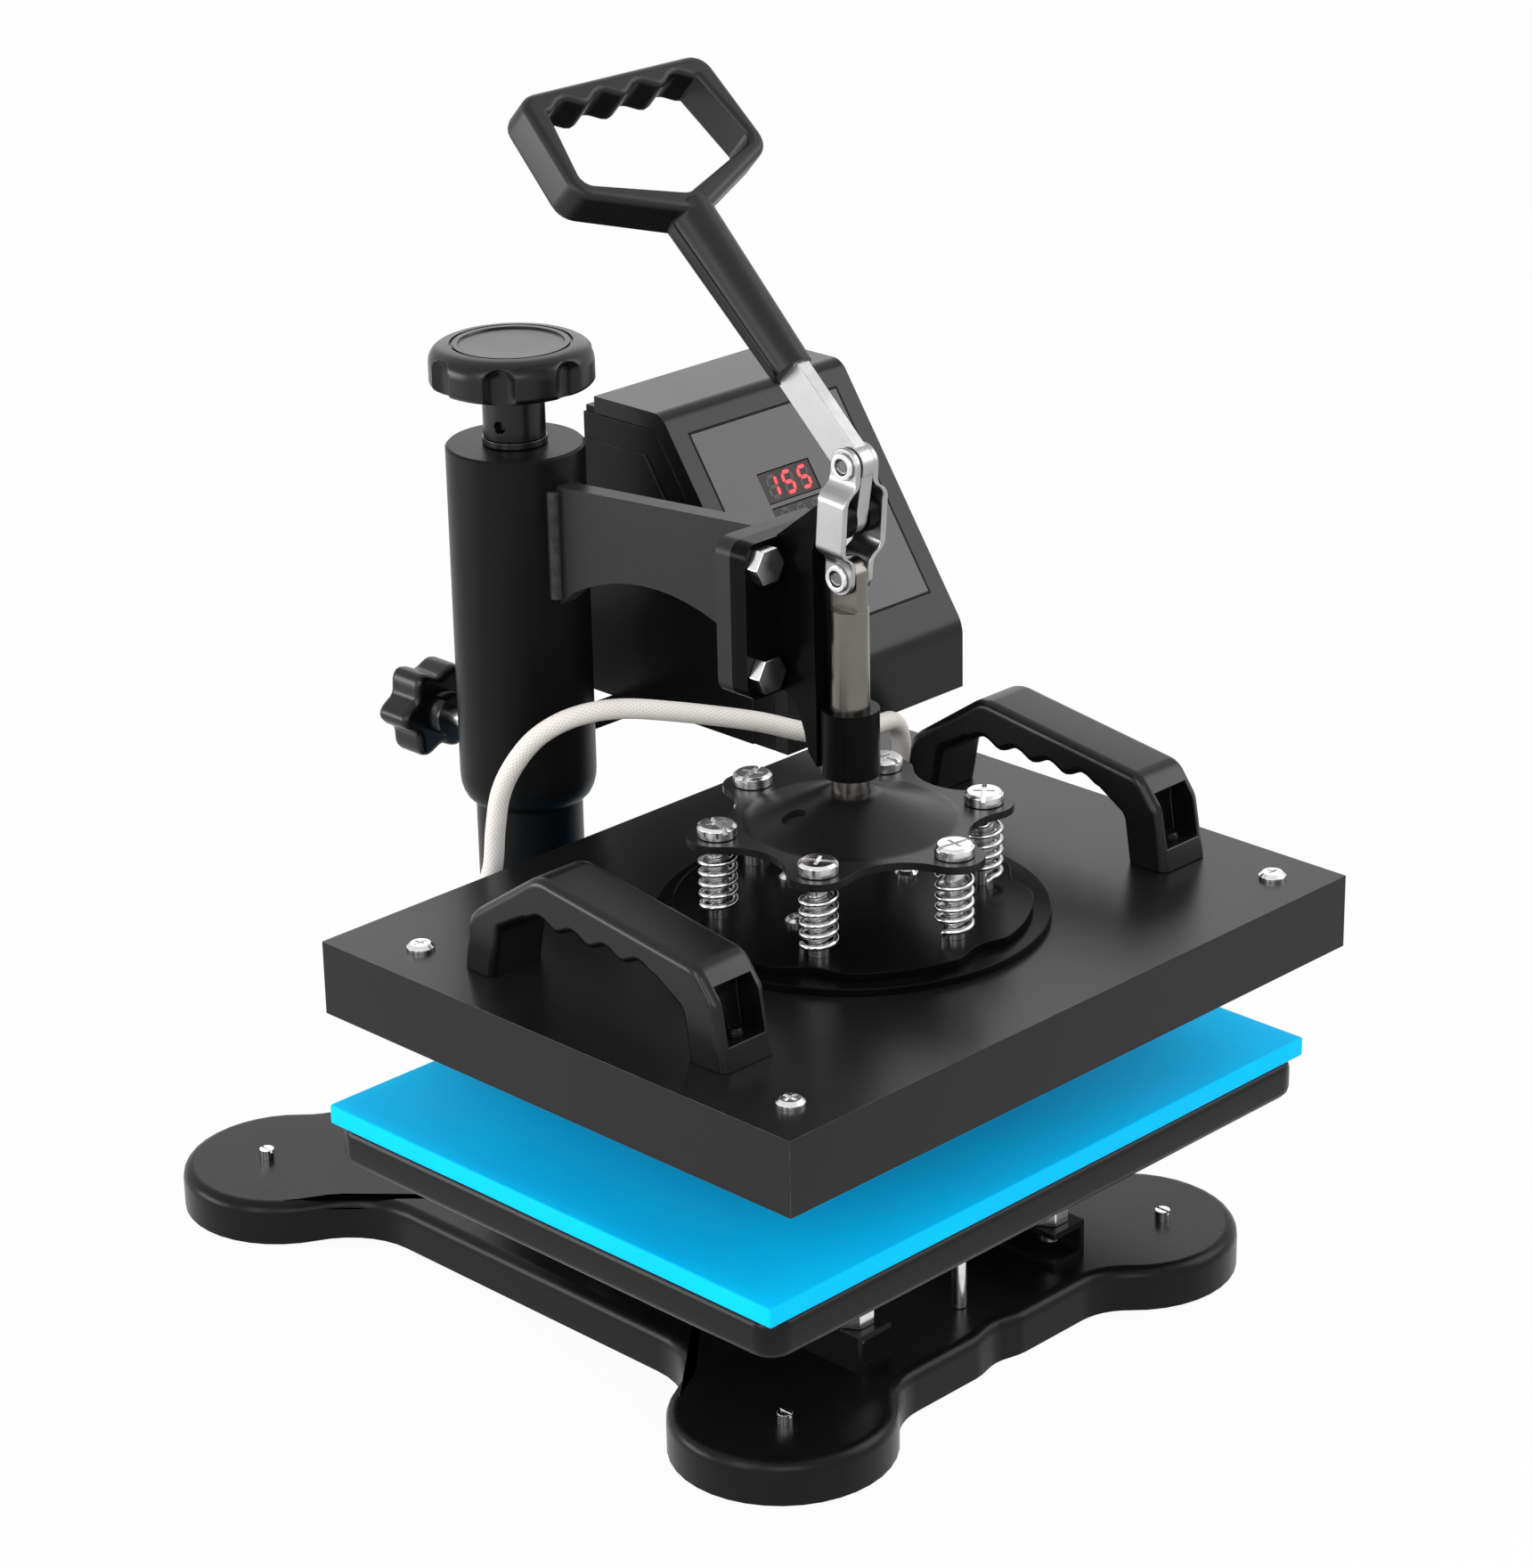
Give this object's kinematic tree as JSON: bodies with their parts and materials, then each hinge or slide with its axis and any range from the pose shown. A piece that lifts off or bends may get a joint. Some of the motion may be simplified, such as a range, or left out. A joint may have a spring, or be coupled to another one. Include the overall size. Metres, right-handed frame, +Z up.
{
  "type": "swing-away heat press",
  "caption": "Swing-away heat press: hollow base, column, swinging head with toggle lever, sprung platen with carrying handles, flat bed with silicone pad, and a control box.",
  "frame": {"origin": "on the table, below the middle of the whole machine's outline, with the lever up and the head over the bed", "axes": "+X to the operator's right, +Y to the back, +Z up; the operator stands on the -Y side"},
  "size_m": [0.3098, 0.391, 0.4691],
  "materials": {
    "black_casting": "textured black paint",
    "black_steel": "satin black paint",
    "black_tray": "black painted casting",
    "black_cover": "fine textured black powder coat",
    "bright_steel": "bright zinc",
    "zinc_plate": "satin zinc",
    "ground_steel": "ground and oiled",
    "black_plastic": "moulded, satin",
    "rubber_feet": "matt",
    "blue_silicone": "matt silicone foam",
    "aluminium_plate": "coated",
    "mineral_wool": "fibrous",
    "panel_film": "fine satin film",
    "red_window": "tinted window",
    "dark_window": "tinted window",
    "circuit_board": "lacquered board",
    "white_braid": "braided sleeve",
    "grey_keys": "satin",
    "red_rocker": "translucent red"
  },
  "bodies": {
    "base": {"base_plate": "black_casting", "base_feet": "rubber_feet", "foot_studs": "bright_steel", "post": "black_steel", "post_nut": "bright_steel", "rails": "black_steel", "tray": "black_tray", "tray_studs": "bright_steel", "tray_nuts": "bright_steel", "pad": "blue_silicone"},
    "lift_ring": {"thrust_ring": "bright_steel"},
    "head": {"sleeve": "black_steel", "arm": "black_steel", "bracket": "black_casting", "bracket_bolts": "bright_steel", "pivot_pin": "bright_steel", "box_bar": "black_steel", "box_screws": "bright_steel", "box_shell": "black_cover", "box_cover": "black_cover", "overlay": "panel_film", "temp_display": "red_window", "time_display": "dark_window", "control_board": "circuit_board", "mains_inlet": "black_plastic", "fuse_holder": "black_plastic", "switch_frame": "black_plastic", "cable_gland": "black_plastic", "heater_cable": "white_braid"},
    "lock": {"lock_knob": "black_plastic", "lock_stud": "bright_steel"},
    "knob": {"pressure_knob": "black_plastic", "lift_screw": "black_steel"},
    "lever": {"lever_bar": "zinc_plate", "lever_handle": "black_plastic"},
    "links": {"link_left": "zinc_plate", "link_right": "zinc_plate", "link_rivets": "bright_steel"},
    "plunger": {"plunger": "ground_steel", "plunger_pin": "bright_steel", "spider": "black_casting"},
    "platen": {"platen_cover": "black_cover", "heater_plate": "aluminium_plate", "insulation": "mineral_wool", "disc_lower": "black_steel", "disc_upper": "black_steel", "disc_screws": "bright_steel", "spring_screws": "bright_steel", "springs": "bright_steel", "cover_screws": "bright_steel", "handle_left": "black_plastic", "handle_right": "black_plastic", "handle_screws": "black_steel", "platen_gland": "black_plastic"},
    "set_key": {"key_set": "grey_keys"},
    "up_key": {"key_up": "grey_keys"},
    "down_key": {"key_down": "grey_keys"},
    "rocker": {"power_rocker": "red_rocker"}
  },
  "joints": [
    {"name": "lift", "type": "slide", "parent": "base", "child": "lift_ring", "axis": [0, 0, 1], "range_m": [0, 0.02]},
    {"name": "swing", "type": "hinge", "parent": "lift_ring", "child": "head", "pos_m": [0, 0.1, 0.2], "axis": [0, 0, 1], "range_deg": [-120, 120]},
    {"name": "pressure_turn", "type": "hinge", "parent": "lift_ring", "child": "knob", "pos_m": [0, 0.1, 0.3], "axis": [0, 0, 1], "range_deg": [0, 2402]},
    {"name": "lock_turn", "type": "hinge", "parent": "head", "child": "lock", "pos_m": [0, 0.15, 0.1885], "axis": [0, 1, 0], "range_deg": [0, 360]},
    {"name": "lever", "type": "hinge", "parent": "head", "child": "lever", "pos_m": [0, -0.08, 0.325], "axis": [1, 0, 0], "range_deg": [0, 170.31]},
    {"name": "link_fold", "type": "hinge", "parent": "lever", "child": "links", "pos_m": [0, -0.0835, 0.3455], "axis": [1, 0, 0], "range_deg": [-176, 0]},
    {"name": "plunge", "type": "slide", "parent": "head", "child": "plunger", "axis": [0, 0, -1], "range_m": [0, 0.0416]},
    {"name": "platen_float", "type": "slide", "parent": "plunger", "child": "platen", "axis": [0, 0, 1], "range_m": [0, 0.006], "stiffness_N_per_m": 2000, "springref_m": -0.003, "deforming": ["springs"]},
    {"name": "press_set", "type": "slide", "parent": "head", "child": "set_key", "axis": [0, 0.8292, -0.5589], "range_m": [0, 0.0012], "stiffness_N_per_m": 300},
    {"name": "press_up", "type": "slide", "parent": "head", "child": "up_key", "axis": [0, 0.8292, -0.5589], "range_m": [0, 0.0012], "stiffness_N_per_m": 300},
    {"name": "press_down", "type": "slide", "parent": "head", "child": "down_key", "axis": [0, 0.8292, -0.5589], "range_m": [0, 0.0012], "stiffness_N_per_m": 300},
    {"name": "power_rock", "type": "hinge", "parent": "head", "child": "rocker", "pos_m": [0.1285, 0.1181, 0.254], "axis": [1, 0, 0], "range_deg": [-20, 0]}
  ],
  "couplings": [
    {"joint": "pressure_turn", "follows": "lift", "rad_per_m": 2094.4},
    {"joint": "link_fold", "follows": "lever", "ratio": -1.027},
    {"joint": "plunge", "follows": "lever", "m_per_rad": 0.013941}
  ]
}
